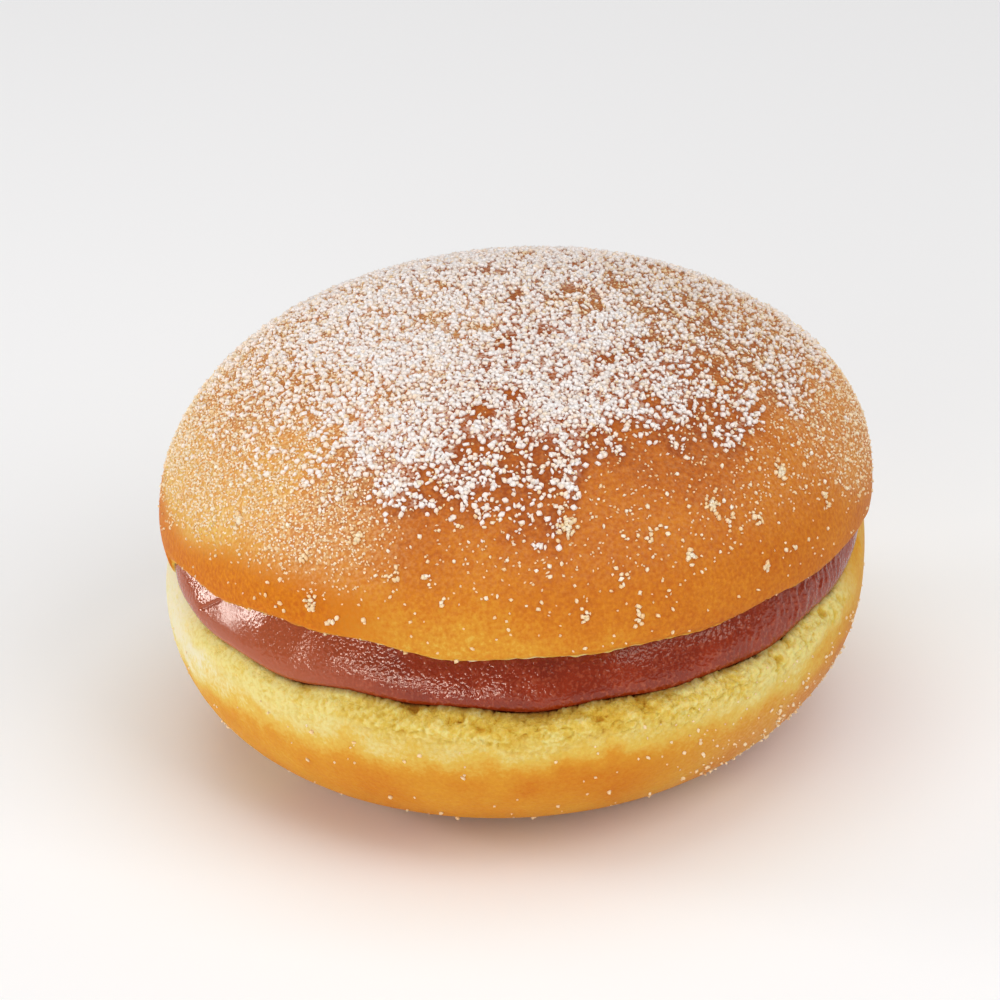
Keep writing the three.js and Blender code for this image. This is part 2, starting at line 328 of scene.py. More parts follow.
def doughGrid(look, angle):
    rows = []
    for share in np.linspace(0.0, 1.0, look["footRows"] + 1):
        rows.append(place(np.full_like(angle, loaf["footRadius"] * share), angle, np.zeros_like(angle)))
    lower = np.linspace(0, look["crumbFrom"], look["bowlRows"] + 1)[1:]
    upper = np.linspace(look["crumbFrom"], math.pi / 2, look["crumbRows"] + 1)[1:]
    for turn in np.concatenate([lower, upper]):
        level = np.full_like(angle, loaf["bowlLevel"] * (1 - math.cos(turn)))
        radius = mix(loaf["footRadius"], loaf["bowlRadius"], math.sin(turn)) + swell(angle, level)
        rows.append(place(radius, angle, level))
    lowLevel, lowRadius = lipLevel(angle, -1), lipRadius(angle, -1)
    for share in np.linspace(0, 1, look["ledgeRows"] + 1)[1:]:
        level = mix(loaf["bowlLevel"], lowLevel, share)
        skin = loaf["bowlRadius"] + swell(angle, level) * (1 - share)
        rows.append(place(mix(skin, lowRadius, share ** 2), angle, level))
    rows += [slitPoint(angle, -1, share) for share in look["slitStops"]]
    rows.append(hinge(angle))
    rows += [slitPoint(angle, 1, share) for share in reversed(look["slitStops"])]
    highLevel, highRadius = lipLevel(angle, 1), lipRadius(angle, 1)
    for share in np.linspace(0, 1, look["lipRows"], endpoint=False) ** look["lipRowPower"]:
        level = mix(highLevel, ringLevel(angle), share)
        skin = loaf["domeRadius"] + swell(angle, level) * share
        rows.append(place(mix(skin, highRadius, (1 - share) ** 2), angle, level))
    for turn in np.linspace(0, math.pi / 2, look["domeRows"]):
        rows.append(domePoint(angle, turn))
    return np.array(rows)


def gridNormals(grid):
    along = np.gradient(grid, axis=0)
    around = np.roll(grid, -1, axis=1) - np.roll(grid, 1, axis=1)
    normal = np.cross(around, along)
    return normal / np.maximum(np.linalg.norm(normal, axis=-1, keepdims=True), 1e-9)


def crumbRelief(look, points, depth):
    # lumps, pits and cracks of the torn crumb
    seeds = look["seeds"]
    relief = look["waveHeight"] * noiseAt(points, look["waveSize"], seeds["wave"])
    for size, height, seed in look["lumps"]:
        relief += height * (lumpsAt(points, size, seed) - look["lumpMiddle"])
    pits = pitsAt(points, look["pitSize"], seeds["pit"], look["pitShare"])
    relief -= look["pitDepth"] * pits * smooth(depth, *look["pitReach"])
    veins = np.abs(layeredNoise(points, look["crackSize"], look["crackLayers"], seeds["crack"]))
    relief -= look["crackDepth"] * (1 - smooth(veins, 0, look["crackWidth"]))
    return relief


def addPatches(look, browning, patches, degrees, level, stretch=1.0):
    for middle, height, size, browner in patches:
        gap = ((degrees - middle) * look["mmPerDegree"]) ** 2 * stretch + (level - height) ** 2
        browning = browning + browner * np.exp(-gap / size ** 2)
    return browning


def crustBrowning(look, points, angles, drift, isLower, isUpper):
    # how brown the skin is: pale collar, golden sides, darker crown
    seeds = look["seeds"]
    degrees = np.degrees(angles)
    level = points[:, 2].reshape(angles.shape)
    mottle = noiseAt(points, look["mottleSize"], seeds["mottle"]).reshape(angles.shape)
    fineMottle = noiseAt(points, look["fineMottleSize"], seeds["fineMottle"]).reshape(angles.shape)
    fade = look["paleLevel"] + look["paleDrift"] * drift - level
    under = smooth(fade, -look["paleSoft"] * look["paleLead"], look["paleSoft"])
    onRight = look["rightCollar"] * smooth(angles, *look["rightFrom"])
    onRight = onRight * (1 - smooth(angles, *look["rightTo"]))
    collar = look["collar"] - look["collar"] * smooth(-angles, *look["collarLeft"])
    collar = collar - look["collar"] * smooth(angles, *look["collarRight"]) + onRight
    low = collar + look["fineMottle"] * fineMottle
    low = low + under * (look["underBrown"] + look["underMottle"] * mottle)
    low = addPatches(look, low, look["lowPatches"], degrees, level)
    aboveLip = level - lipLevel(angles, 1)
    golden = np.exp(-((degrees - look["goldenMiddle"]) / look["goldenWidth"]) ** 2)
    onLeft = 1 - smooth(-degrees, *look["leftEnds"])
    paleSide = smooth(-degrees, *look["sideFrom"]) * smooth(level, *look["sideLevel"]) * onLeft
    crown = smooth(level, *look["crownLevel"])
    high = look["dome"] + look["crown"] * crown + look["domeMottle"] * mottle
    high = high + look["fineMottle"] * fineMottle
    golden = golden * look["golden"] * (1 - smooth(aboveLip, *look["goldenReach"]))
    high -= golden + look["paleSide"] * paleSide * (1 - crown)
    lipReach = mix(*look["paleLipReach"], closed(angles))
    high -= look["paleLip"] * (1 - smooth(aboveLip, look["paleLipFrom"], lipReach))
    high = addPatches(look, high, look["palePatches"], degrees, level)
    high = addPatches(look, high, look["darkPatches"], degrees, level, look["darkStretch"])
    waist = look["waist"] + look["waistRight"] * onRight + look["waistMottle"] * mottle
    browning = np.where(isUpper, high, np.where(isLower, low, waist))
    # clear amber along the lip on the left
    raised = level + look["amberDrop"] * smooth(-degrees, *look["amberDropAt"])
    amber = onLeft * isUpper * smooth(-angles, *look["amberFrom"])
    amber = amber * smooth(raised, *look["amberHeight"]) * smooth(aboveLip, *look["amberLip"])
    return browning, amber


def makeDough(look):
    seeds = look["seeds"]
    angle = columnAngles(look)
    grid = doughGrid(look, angle)
    normal = gridNormals(grid).reshape(-1, 3)
    rows, columns = grid.shape[:2]
    angles = np.broadcast_to(angle, (rows, columns))
    aside = np.abs(angles)
    points = grid.reshape(-1, 3)
    level = grid[..., 2]
    bowlEnd = look["footRows"] + 1 + look["bowlRows"] + look["crumbRows"] + look["ledgeRows"]
    lipStart = bowlEnd + 2 * len(look["slitStops"]) + 1
    rowIndex = np.broadcast_to(np.arange(rows)[:, None], (rows, columns))
    isLower = rowIndex < bowlEnd + look["lowerExtra"]
    isUpper = rowIndex >= lipStart
    # torn crumb just under the lower lip, calm on the left, with painted shade in its hollows that is paler
    # round the sides
    lowLevel = lipLevel(angles, -1)
    gaping = smooth(openness(angles), 0, look["gapeFull"])
    drift = layeredNoise(points, look["driftSize"], look["driftLayers"], seeds["drift"])
    drift = drift.reshape(rows, columns)
    depth = lowLevel - level + look["tornDrift"] * drift
    tornBand = mix(look["tornBand"], look["tornBandSide"], smooth(aside, *look["tornSide"]))
    torn = gaping * smooth(depth, tornBand, look["tornFull"]) * isLower
    torn = torn * (1 - smooth(aside, *look["tornEnds"]))
    rugged = torn * mix(look["leftCalm"], 1.0, smooth(angles, *look["tornLeft"]))
    active = torn.ravel() > look["faint"]
    relief = crumbRelief(look, points[active], depth.ravel()[active]) * rugged.ravel()[active]
    # painted shade: the crumb darkens where its relief sinks
    paler = look["hollowSide"] * smooth(aside, *look["hollowSides"]).ravel()[active]
    hollow = np.zeros((rows, columns))
    hollow.ravel()[active] = np.clip(look["hollowMiddle"] - paler - look["hollowDepth"] * relief, 0, 1)
    shaped = grid.copy()
    flat = shaped.reshape(-1, 3)
    flat[active] += normal[active] * relief[:, None]
    # the upper lip's edge is slightly beaded
    nearLip = 1 - smooth(level - lipLevel(angles, 1), 0.0, look["lipBeadReach"])
    nearLip = (gaping * isUpper * nearLip).ravel()
    edge = nearLip > look["faint"]
    beads = look["lipBeads"] * noiseAt(points[edge], look["lipBeadSize"], seeds["bead"])
    flat[edge, 2] += beads * nearLip[edge]
    # cream wipes off on the dough that it touches; this dark smear is partly painted contact shade where
    # the cream meets the crumb
    inSlit = (rowIndex >= bowlEnd) & (rowIndex < lipStart - look["slitMargin"])
    wiped = smooth(level - lowLevel, *look["smearBand"]) * isLower * look["smearThin"]
    smear = gaping * np.where(inSlit, 1.0, wiped)
    browning, amber = crustBrowning(look, points, angles, drift, isLower, isUpper)
    # sugar: thick coat about the crown, a thin dust lower down, and in front a browner crust under it,
    # partly painted shade between the grains
    across = points[:, 0] - loaf["lean"] * points[:, 2] / loaf["height"]
    share = np.hypot(across, points[:, 1]).reshape(rows, columns) / loaf["domeRadius"]
    coat, fine, dust, clump = sugarCover(sugarSpread, points, angles, share, isUpper)
    chestnut = np.maximum(smooth(angles, *look["chestnutFront"]), smooth(-angles, *look["chestnutBack"]))
    browning = browning + coat * look["underCoat"] * chestnut
    fields = dict(browning=np.clip(browning, 0, 1), amber=amber, torn=torn, hollow=hollow, smear=smear,
                  speckle=np.where(isUpper, 1.0, look["speckleLower"]), coat=coat, fine=fine, dust=dust,
                  clump=clump)
    mesh = meshFromGrid("berlinerDough", shaped)
    for name, values in fields.items():
        values = np.array(values, dtype=float)
        for pole in (0, -1):  # one value for the points that merge there
            values[pole] = values[pole].mean()
        setFloat(mesh, name, values)
    mergeDoubles(mesh, look["mergeReach"])
    mesh.shade_smooth()
    return mesh


# where the sugar lies: angles in degrees from the front, heights in millimetres,
# and shares of the dome's radius from its middle
sugarSpread = dict(
    seeds=dict(ragged=11, patchy=13),
    # thick coat
    reach=0.80, edge=0.07, leftEdge=0.28, edgeLead=0.6, leftExtra=0.02,
    lobes=((-31, 15, 0.05), (4, 8, 0.10), (20, 10, -0.12), (34, 10, -0.05), (-68, 22, -0.06),
           (95, 22, 0.09), (180, 50, 0.04)),  # angle, width, extra reach
    ragged=0.075, raggedSize=3.4, raggedLayers=2,
    leftFrom=(35, 65), backLimit=170, backFade=60,
    bareSpots=((-90, 0.24, 2.0), (-56, 0.18, 1.6), (-11, 0.53, 1.6), (-11, 0.66, 1.7), (-2, 0.70, 2.0),
               (4, 0.71, 2.0), (176, 0.49, 1.8), (124, 0.17, 2.4), (102, 0.22, 1.8), (119, 0.34, 2.2),
               (90, 0.35, 1.8), (38, 0.39, 1.6), (50, 0.39, 1.8), (-2, 0.46, 1.4), (45, 0.70, 2.4),
               (27, 0.68, 2.0), (35, 0.71, 2.0), (-143, 0.32, 1.6), (65, 0.71, 2.0), (58, 0.64, 1.8),
               (61, 0.77, 2.0), (-50, 0.77, 2.4)),  # angle, share, size
    bareSize=3.2, bareRange=(0.18, 0.62), bareMost=0.8, bareThin=0.72,
    denseSpots=((12, 0.50, 5.5), (40, 0.28, 5.0), (-70, 0.42, 5.0), (-50, 0.28, 4.0), (-30, 0.62, 4.5),
                (-18, 0.40, 4.0)),  # angle, share, size
    denseRange=(-0.1, 0.35), denseMost=0.6, looseCoat=0.8,
    rightThin=0.55, rightMiddle=105, rightWidth=50, rightShare=(0.25, 0.55),
    leftThin=0.25, leftShare=(0.4, 0.65),
    tongueThin=0.35, tongueWidth=15, tongueShare=(0.6, 0.68),  # thin at the front
    fineBare=0.8, fineLoose=0.25,
    # fine dust: thick on the left flank, thin in front and down by the lip
    aheadEnds=(105, 165), dustRight=(25, 60), dustLeft=(16, 38), dustSide=(55, 72),
    dustLevel=38.5, dustRise=7, rightDrop=4.5, leftDrop=3.5, leftDropAt=(50, 72),
    inFront=0.12, onRight=0.24, onSide=0.4, behind=0.3,
    least=0.03, leastLeft=0.02, underCoat=0.6,
    floury=0.4, flouryFrom=(15, 50), flouryFoot=(0, 4), flouryTop=(14, 20),  # lower half, on the right
    # small heaps that rolled down the sides
    heaps=((-34, 38.4, 0.9), (7, 47.3, 1.2), (15, 41.5, 0.95), (17, 37.3, 0.7), (17, 36.0, 0.6),
           (27, 42.3, 0.8), (41, 43.2, 0.85), (36, 44.2, 0.8), (34, 46.3, 1.1), (58, 40.3, 0.8),
           (40, 37.4, 0.6), (47, 38.4, 0.6), (21, 45.1, 0.6), (-37, 42.9, 0.7), (-40, 36.7, 0.7),
           (-21, 43.1, 0.8), (-21, 40.4, 0.6), (-25, 37.4, 0.6), (-16, 43.2, 0.6), (-30, 36.8, 0.5),
           (-13, 40.6, 0.6), (2, 39.6, 0.6), (9, 38.1, 0.7), (-54, 43.8, 0.8), (51, 46.2, 1.0),
           (-29, 46.3, 0.8)),  # angle, height, size
    heapSize=0.72,
)


def sugarCover(look, points, angles, share, isUpper):
    seeds = look["seeds"]
    degrees = np.degrees(angles)
    height = points[:, 2].reshape(angles.shape)
    flat = share * loaf["domeRadius"]

    def nearness(angle, radius, size):
        spot = radius * loaf["domeRadius"]
        gap = flat ** 2 + spot ** 2 - 2 * flat * spot * np.cos(np.radians(degrees - angle))
        return np.exp(-gap / size ** 2)

    reach = np.full(angles.shape, look["reach"])
    for middle, width, extra in look["lobes"]:
        away = degrees - middle
        away -= 360 * np.round(away / 360)
        reach += extra * np.exp(-(away / width) ** 2)
    ragged = layeredNoise(points, look["raggedSize"], look["raggedLayers"], seeds["ragged"])
    limit = reach + look["ragged"] * ragged.reshape(angles.shape)
    notBack = smooth(look["backLimit"] + degrees, 0, look["backFade"])
    left = smooth(-degrees, *look["leftFrom"]) * notBack
    edge = mix(look["edge"], look["leftEdge"], left)
    coat = smooth(limit + look["leftExtra"] * left - share, -edge * look["edgeLead"], edge)
    # bare and dense patches
    patchy = noiseAt(points, look["bareSize"], seeds["patchy"]).reshape(angles.shape)
    bare = look["bareMost"] * smooth(patchy, *look["bareRange"])
    dense = smooth(-patchy, *look["denseRange"]) * look["denseMost"]
    for spot in look["denseSpots"]:
        near = nearness(*spot)
        bare = bare * (1 - near)
        dense = np.maximum(dense, near)
    for spot in look["bareSpots"]:
        near = nearness(*spot)
        bare = np.maximum(bare, near)
        dense = dense * (1 - near)
    right = np.exp(-((degrees - look["rightMiddle"]) / look["rightWidth"]) ** 2)
    right = right * smooth(share, *look["rightShare"])
    coat = coat * (1 - look["bareThin"] * bare) * (1 - look["rightThin"] * right)
    coat = coat * (1 - look["leftThin"] * left * smooth(share, *look["leftShare"]))
    coat *= mix(look["looseCoat"], 1.0, dense)
    tongue = np.exp(-(degrees / look["tongueWidth"]) ** 2)
    coat *= 1 - look["tongueThin"] * tongue * smooth(share, *look["tongueShare"])
    fine = coat * (1 - look["fineBare"] * bare) * mix(look["fineLoose"], 1.0, dense)
    # dust, which is the same from left and right at the back
    ahead = 1 - smooth(np.abs(degrees), *look["aheadEnds"])
    right = smooth(degrees, *look["dustRight"]) * ahead
    leftDust = smooth(-degrees, *look["dustLeft"]) * notBack
    side = smooth(degrees, *look["dustSide"]) * ahead
    leftEnd = smooth(-degrees, *look["leftDropAt"])
    low = look["dustLevel"] - look["rightDrop"] * side - look["leftDrop"] * leftEnd * ahead
    dust = mix(look["inFront"], look["onRight"], right) + look["onSide"] * side
    dust = dust + look["behind"] * (1 - ahead)
    dust = mix(dust, 1.0, leftDust) * smooth(height, low, low + look["dustRise"])
    dust = np.clip(dust + mix(look["least"], look["leastLeft"], leftDust), 0, 1)
    dust = dust * (1 - look["underCoat"] * coat)
    clump = np.zeros(angles.shape)
    for angle, level, size in look["heaps"]:
        turn = np.radians(degrees - angle)
        gap = (flat * turn) ** 2 + (height - level) ** 2
        clump = np.maximum(clump, np.exp(-gap / (look["heapSize"] * size) ** 2))
    floury = look["floury"] * smooth(degrees, *look["flouryFrom"]) * ahead
    floury = floury * smooth(height, *look["flouryFoot"]) * (1 - smooth(height, *look["flouryTop"]))
    dust = np.where(isUpper, dust, floury)
    return coat * isUpper, fine * isUpper, dust, clump * isUpper


def nodeTools(tree):
    def link(source, target):
        tree.links.new(source, target)

    def add(kind, inputs={}, **settings):
        # inputs by name or number: another node's socket is linked, a constant is set
        node = tree.nodes.new(kind)
        for key, value in settings.items():
            setattr(node, key, value)
        for key, value in inputs.items():
            if isinstance(value, bpy.types.NodeSocket):
                link(value, node.inputs[key])
            else:
                node.inputs[key].default_value = value
        return node

    return add, link


def nodeKit(material):
    # the few kinds of node that the finishes are made of
    material.use_nodes = True
    tree = material.node_tree
    tree.nodes.clear()
    add = nodeTools(tree)[0]

    def finish(looks):
        shader = add("ShaderNodeBsdfPrincipled", looks)
        add("ShaderNodeOutputMaterial", {"Surface": shader.outputs[0]})

    def field(name):
        return add("ShaderNodeAttribute", attribute_name=name).outputs["Fac"]

    def grain(scale, detail, roughness=0.5, distortion=0.0):
        spot = add("ShaderNodeTexCoord").outputs["Object"]
        return add("ShaderNodeTexNoise", {
            "Vector": spot, "Scale": scale, "Detail": detail, "Roughness": roughness,
            "Distortion": distortion}).outputs["Fac"]

    def ranged(value, fromLow, fromHigh, toLow, toHigh):
        return add("ShaderNodeMapRange", {
            "Value": value, "From Min": fromLow, "From Max": fromHigh, "To Min": toLow,
            "To Max": toHigh}).outputs["Result"]

    def maths(operation, first, second):
        return add("ShaderNodeMath", {0: first, 1: second}, operation=operation).outputs[0]

    def blend(share, under, over):
        return add("ShaderNodeMix", {
            "Factor": share, "A": under, "B": over}, data_type="RGBA").outputs["Result"]

    def ramp(value, stops):
        node = add("ShaderNodeValToRGB", {"Fac": value})
        elements = node.color_ramp.elements
        while len(elements) < len(stops):
            elements.new(0.5)
        for element, (position, colour) in zip(elements, stops):
            element.position = position
            element.color = (*colour, 1)
        return node.outputs["Color"]

    def bump(height, distance, strength, under={}):
        return add("ShaderNodeBump", {
            "Height": height, "Distance": distance, "Strength": strength, **under}).outputs["Normal"]

    return SimpleNamespace(finish=finish, field=field, grain=grain, ranged=ranged, maths=maths, blend=blend,
                           ramp=ramp, bump=bump)


# grain: scale, detail, roughness, distortion; ranges: from low, from high, to low, to high
doughPaint = dict(
    specks=(1900.0, 2.0, 0.55), speckRange=(0.3, 0.7, -0.12, 0.12),
    crust=(
        (0.00, (0.79, 0.71, 0.48)),
        (0.07, (0.77, 0.66, 0.30)),
        (0.18, (0.73, 0.49, 0.09)),
        (0.36, (0.68, 0.31, 0.028)),
        (0.56, (0.61, 0.20, 0.014)),
        (0.78, (0.50, 0.125, 0.010)),
        (1.00, (0.32, 0.06, 0.007))),
    amber=((0.3, (0.52, 0.11, 0.002)), (0.7, (0.68, 0.23, 0.006))), amberShare=0.9,
    crumbGrain=(1500.0, 3.0, 0.5, 0.6), crumbRange=(0.3, 0.7, -0.24, 0.26),
    crumb=(
        (0.0, (0.81, 0.69, 0.26)),
        (0.4, (0.74, 0.53, 0.10)),
        (0.75, (0.66, 0.40, 0.045)),
        (1.0, (0.54, 0.25, 0.02))),
    # smear colour, darker than the cream: partly painted contact shade
    smear=(0.14, 0.018, 0.004, 1),
    powderGrain=(2300.0, 1.5), dustRange=(0.44, 0.66, 0.18, 0.76), dust=(0.86, 0.62, 0.31, 1),
    bedRange=(0.4, 0.6, 0.0, 0.75), bedCoat=(0.55, 0.9, 0.0, 1.0), bed=(0.83, 0.62, 0.50, 1),
    roughness=(0.55, 0.85),  # satin crust, dry crumb
    skinGrain=(1100.0, 4.0, 0.6), skinBump=(0.0004, 0.35),  # metres, strength
    fuzzGrain=(2200.0, 3.0, 0.65), fuzzDepth=0.0002,
    shine=0.08, glow=0.25, glowRadius=(1.0, 0.45, 0.15), glowScale=0.0015,
)


def doughFinish(paint):
    material = bpy.data.materials.new("friedDough")
    kit = nodeKit(material)
    torn = kit.field("torn")
    # crust colour from pale dough to chestnut, with fine specks
    specks = kit.grain(*paint["specks"])
    speckled = kit.maths("MULTIPLY", kit.ranged(specks, *paint["speckRange"]), kit.field("speckle"))
    colour = kit.ramp(kit.maths("ADD", kit.field("browning"), speckled), paint["crust"])
    amberShare = kit.maths("MULTIPLY", kit.field("amber"), paint["amberShare"])
    colour = kit.blend(amberShare, colour, kit.ramp(specks, paint["amber"]))
    # crumb: pale where it stands up, and painted shade makes it ochre in the hollows
    uneven = kit.ranged(kit.grain(*paint["crumbGrain"]), *paint["crumbRange"])
    crumb = kit.ramp(kit.maths("ADD", kit.field("hollow"), uneven), paint["crumb"])
    colour = kit.blend(torn, colour, crumb)
    # dark smear, partly painted contact shade beside the cream
    colour = kit.blend(kit.field("smear"), colour, paint["smear"])
    # fine pale speckles of sugar melted into the skin
    powder = kit.grain(*paint["powderGrain"])
    dusted = kit.maths("MULTIPLY", kit.ranged(powder, *paint["dustRange"]), kit.field("dust"))
    colour = kit.blend(dusted, colour, paint["dust"])
    # powder between the grains of the thick coat
    thick = kit.ranged(kit.field("coat"), *paint["bedCoat"])
    bedded = kit.maths("MULTIPLY", kit.ranged(powder, *paint["bedRange"]), thick)
    colour = kit.blend(bedded, colour, paint["bed"])
    skin = kit.bump(kit.grain(*paint["skinGrain"]), *paint["skinBump"])
    fuzz = kit.bump(kit.grain(*paint["fuzzGrain"]), paint["fuzzDepth"], torn, {"Normal": skin})
    rough = kit.ranged(torn, 0.0, 1.0, *paint["roughness"])
    kit.finish({
        "Base Color": colour, "Roughness": rough, "Normal": fuzz, "Specular IOR Level": paint["shine"],
        "Subsurface Weight": paint["glow"], "Subsurface Radius": paint["glowRadius"],
        "Subsurface Scale": paint["glowScale"]})
    return material


doughMesh = makeDough(doughLook)
dough = addObject("berlinerDough", doughMesh, doughFinish(doughPaint))
print("dough made:", len(doughMesh.polygons), "faces")

# chocolate cream: fills the slit and swells out between the lips
creamLook = dict(
    stations=800, span=0.975, depth=0.84,
    stops=(0.0, 0.05, 0.15, 0.4, 1.0),  # shares of the way from the face to that depth
    recess=((-78, 2.5), (-56, 4.2), (-30, 4.4), (0, 5.2), (35, 4.0), (50, 2.6), (60, 3.0),
            (78, 3.2)),  # angle in degrees, how far under the lip
    recessBlur=8.0, blurSteps=9, mostRecess=0.45, leastReach=1, floorEdge=0.012,
    leftFrom=math.radians(-34), leftTo=math.radians(-48),
    bulge=1.0, leftBulge=1.7, bulgeRows=48, lean=0.6, roundness=0.8,
    inset=-0.05,  # sits into the dough, so that no gap shows
    # streaks on the right, bent and broken up
    streakHeight=0.11, streaks=190, streakFrom=math.radians(10), streakFull=math.radians(28),
    streakLean=5, streakSways=((4, 11, 0), (2, 29, 3)),  # reach, count, lean
    streakBend=4.0, streakBendSize=2.0, streakPatch=1.3, streakGaps=(-0.3, 0.3),
    pulseLeast=0.6, pulse=0.4, pulses=7, pulsePhase=2,
    streakFade=0.6, streakFadeAt=(0.9, 1.2),
    waveHeight=0.2, waveSize=4.0, grainHeight=0.012, grainSize=0.9,
    seeds=dict(wave=21, grain=22, bend=24, patch=25),
    milkFrom=math.radians(-14), milkTo=math.radians(-44),  # lighter towards the left end
    calm=0.8, calmAt=math.radians(-53), calmWidth=0.12,  # smooth patch with a broad shine
    creaseAngle=math.radians(-58.6), creaseWidth=0.007, creaseDepth=0.34, creaseSlant=0.36,
    creaseMiddle=0.55, creaseFrom=(0.38, 0.45), creaseTo=(0.68, 0.78),
)


def creamStreaks(look, angle, share, line):
    slant = look["streaks"] * angle + look["streakLean"] * share
    for reach, count, lean in look["streakSways"]:
        slant = slant + reach * np.sin(count * angle + lean * share)
    slant += look["streakBend"] * noiseAt(line, look["streakBendSize"], look["seeds"]["bend"])
    pulse = look["pulseLeast"] + look["pulse"] * np.sin(look["pulses"] * angle + look["pulsePhase"])
    streak = np.sin(slant) * pulse
    streak = streak * smooth(angle, look["streakFrom"], look["streakFull"]) * look["streakHeight"]
    streak = streak * (1 - look["streakFade"] * smooth(angle, *look["streakFadeAt"]))
    return streak * smooth(noiseAt(line, look["streakPatch"], look["seeds"]["patch"]), *look["streakGaps"])


def creamCrease(look, angle, share):
    slanted = look["creaseSlant"] * (share - look["creaseMiddle"])
    crease = (angle - look["creaseAngle"] - slanted) / look["creaseWidth"]
    crease = np.exp(-crease ** 2) * smooth(share, *look["creaseFrom"])
    return crease * (1 - smooth(share, *look["creaseTo"])) * look["creaseDepth"]


def makeCream(look):
    limit = loaf["slitSpan"] * look["span"]
    angle = np.linspace(-limit, limit, look["stations"])
    onLeft = smooth(-angle, -look["leftFrom"], -look["leftTo"])
    outward = place(np.ones_like(angle), angle, np.zeros_like(angle))
    reach = np.sum((slitPoint(angle, 1, 0.0) - hinge(angle)) * outward, -1)
    around = np.linspace(-look["recessBlur"], look["recessBlur"], look["blurSteps"])
    angles, recesses = zip(*look["recess"])
    recess = np.mean([np.interp(np.degrees(angle) + turn, angles, recesses) for turn in around], axis=0)
    most = look["mostRecess"]
    back = most * np.tanh(recess / np.maximum(reach, look["leastReach"]) / most)
    depth, inset = look["depth"], look["inset"]
    ceiling = [slitPoint(angle, 1, mix(back, depth, stop), inset) for stop in look["stops"]]
    floor = [slitPoint(angle, -1, mix(look["floorEdge"], depth, stop), inset) for stop in look["stops"]]
    full = mix(look["bulge"], look["leftBulge"], onLeft) * openness(angle)
    shares = np.linspace(0, 1, look["bulgeRows"] + 1)[1:-1]
    bulge = []
    for share in shares:
        arch = math.sin(math.pi * share ** look["lean"]) ** look["roundness"]
        line = mix(floor[0], ceiling[0], share)
        detail = creamStreaks(look, angle, share, line) - creamCrease(look, angle, share)
        bulge.append(line + outward * (full * arch + detail * math.sin(math.pi * share))[:, None])
    grid = np.array(ceiling + floor[::-1] + bulge)
    first = len(ceiling) + len(floor)
    shown = grid[first:].reshape(-1, 3)
    relief = look["waveHeight"] * noiseAt(shown, look["waveSize"], look["seeds"]["wave"])
    relief += look["grainHeight"] * noiseAt(shown, look["grainSize"], look["seeds"]["grain"])
    relief = relief.reshape(len(shares), -1) * np.sin(math.pi * shares)[:, None]
    grid[first:] += outward[None] * relief[..., None]
    # the ends close on their own middle
    count = grid.shape[0]
    vertices = grid.transpose(1, 0, 2).reshape(-1, 3)
    tips = np.array([grid[:, 0].mean(0), grid[:, -1].mean(0)])
    index = np.arange(len(vertices)).reshape(look["stations"], count)
    ahead = np.roll(index, -1, axis=1)
    quads = np.stack([index[:-1], index[1:], ahead[1:], ahead[:-1]], -1).reshape(-1, 4)
    last = len(vertices)
    caps = [(last, a, b) for a, b in zip(index[0], ahead[0])]
    caps += [(last + 1, b, a) for a, b in zip(index[-1], ahead[-1])]
    mesh = bpy.data.meshes.new("chocolateCream")
    mesh.from_pydata((np.vstack([vertices, tips]) * mm).tolist(), [], quads.tolist() + caps)
    calm = np.exp(-((angle - look["calmAt"]) / look["calmWidth"]) ** 2)
    grain = np.repeat(1 - look["calm"] * calm, count)
    setFloat(mesh, "grain", np.append(grain, [1, 1]))
    milk = np.repeat(smooth(-angle, -look["milkFrom"], -look["milkTo"]), count)
    setFloat(mesh, "milk", np.append(milk, [1, 0]))
    mesh.shade_smooth()
    return mesh


creamPaint = dict(
    cloudGrain=(260.0, 3.0), cream=((0.3, (0.205, 0.015, 0.002)), (0.7, (0.285, 0.025, 0.003))),
    # the colour the cream lightens to towards its left end
    milky=(0.38, 0.075, 0.022, 1),
    # painted glints: the lighter colour on the bead tops
    beadGrain=(2100.0, 1.0), beadRange=(0.5, 0.75, 0.0, 0.62), beadTops=(0.42, 0.085, 0.035, 1),
    beadDepth=0.00015, beadStrength=0.72,
    roughness=(0.28, 0.13),  # the calm patch, the beads
    shine=0.62, shineTint=(1.0, 0.86, 0.76, 1),
)


def creamFinish(paint):
    material = bpy.data.materials.new("chocolateCreamGloss")
    kit = nodeKit(material)
    beaded = kit.field("grain")
    colour = kit.ramp(kit.grain(*paint["cloudGrain"]), paint["cream"])
    colour = kit.blend(kit.field("milk"), colour, paint["milky"])
    # close-set fine beads, with painted glints making their tops a little lighter
    beads = kit.grain(*paint["beadGrain"])
    colour = kit.blend(kit.ranged(beads, *paint["beadRange"]), colour, paint["beadTops"])
    strength = kit.maths("MULTIPLY", beaded, paint["beadStrength"])
    rough = kit.ranged(beaded, 0.0, 1.0, *paint["roughness"])
    relief = kit.bump(beads, paint["beadDepth"], strength)
    kit.finish({
        "Base Color": colour, "Roughness": rough, "Normal": relief, "Specular IOR Level": paint["shine"],
        "Specular Tint": paint["shineTint"]})
    return material


creamMesh = makeCream(creamLook)
cream = addObject("chocolateCream", creamMesh, creamFinish(creamPaint))
print("cream made:", len(creamMesh.polygons), "faces")

